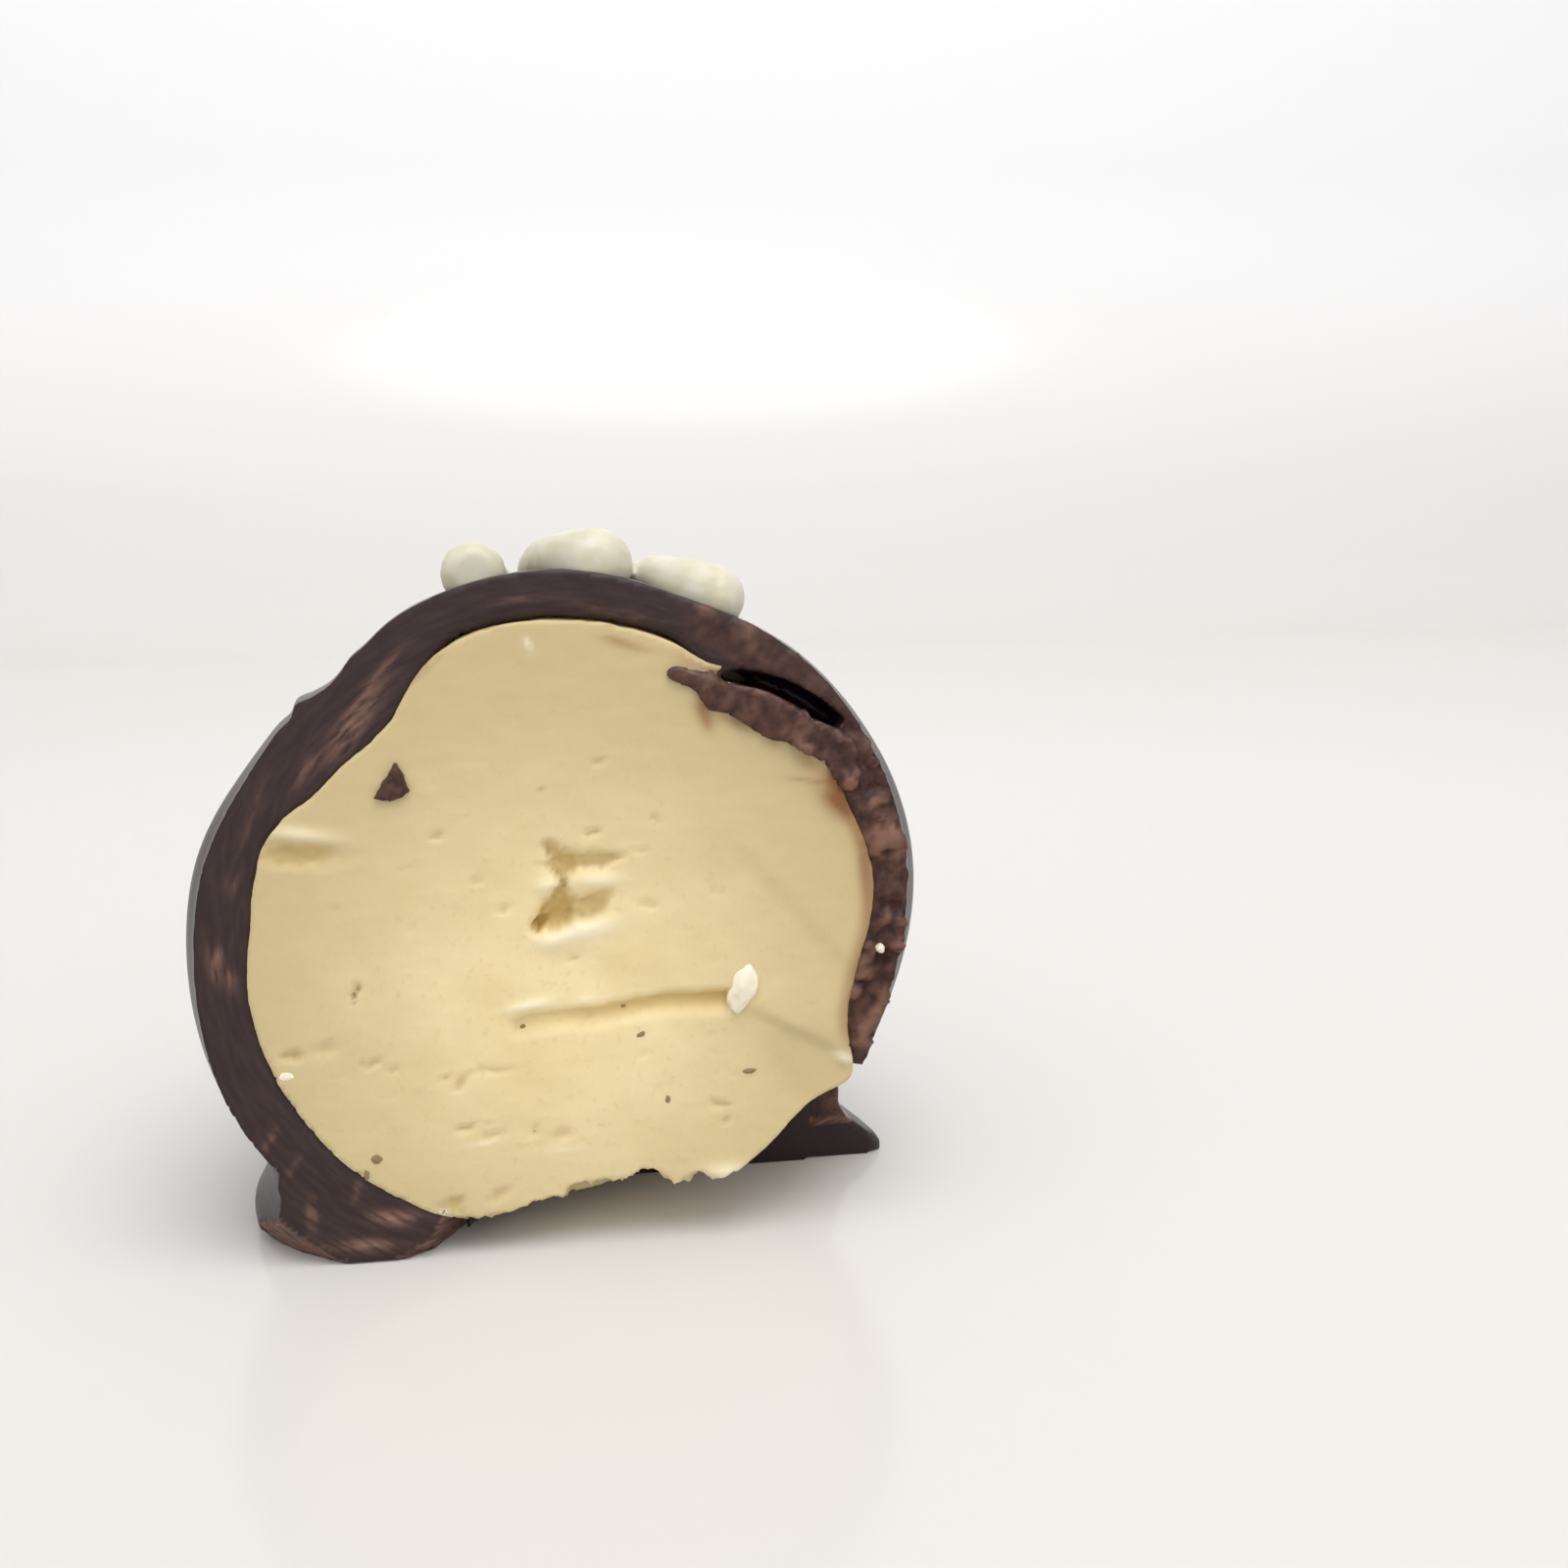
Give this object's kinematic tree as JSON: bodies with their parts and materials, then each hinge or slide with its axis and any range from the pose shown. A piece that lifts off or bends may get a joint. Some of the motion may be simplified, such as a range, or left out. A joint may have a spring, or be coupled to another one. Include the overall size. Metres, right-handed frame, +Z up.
{
  "type": "bourbon ball",
  "caption": "Round chocolate sweet cut open: a dark chocolate shell with a poured foot and white drizzle, round a smooth fondant filling",
  "frame": {"origin": "on the flat base it stands on, 4.5 mm behind the upright axis of the ball and about under its centre of mass", "axes": "+Z up; -Y out of the cut face, which leans back 9 degrees at the top; +X to the right as the cut face is seen"},
  "size_m": [0.0312, 0.0202, 0.03],
  "materials": {
    "dark_chocolate": "satin",
    "fondant": "matte",
    "white_chocolate": "satin"
  },
  "bodies": {
    "root": {"chocolate_shell": "dark_chocolate", "fondant_centre": "fondant"}
  },
  "joints": []
}
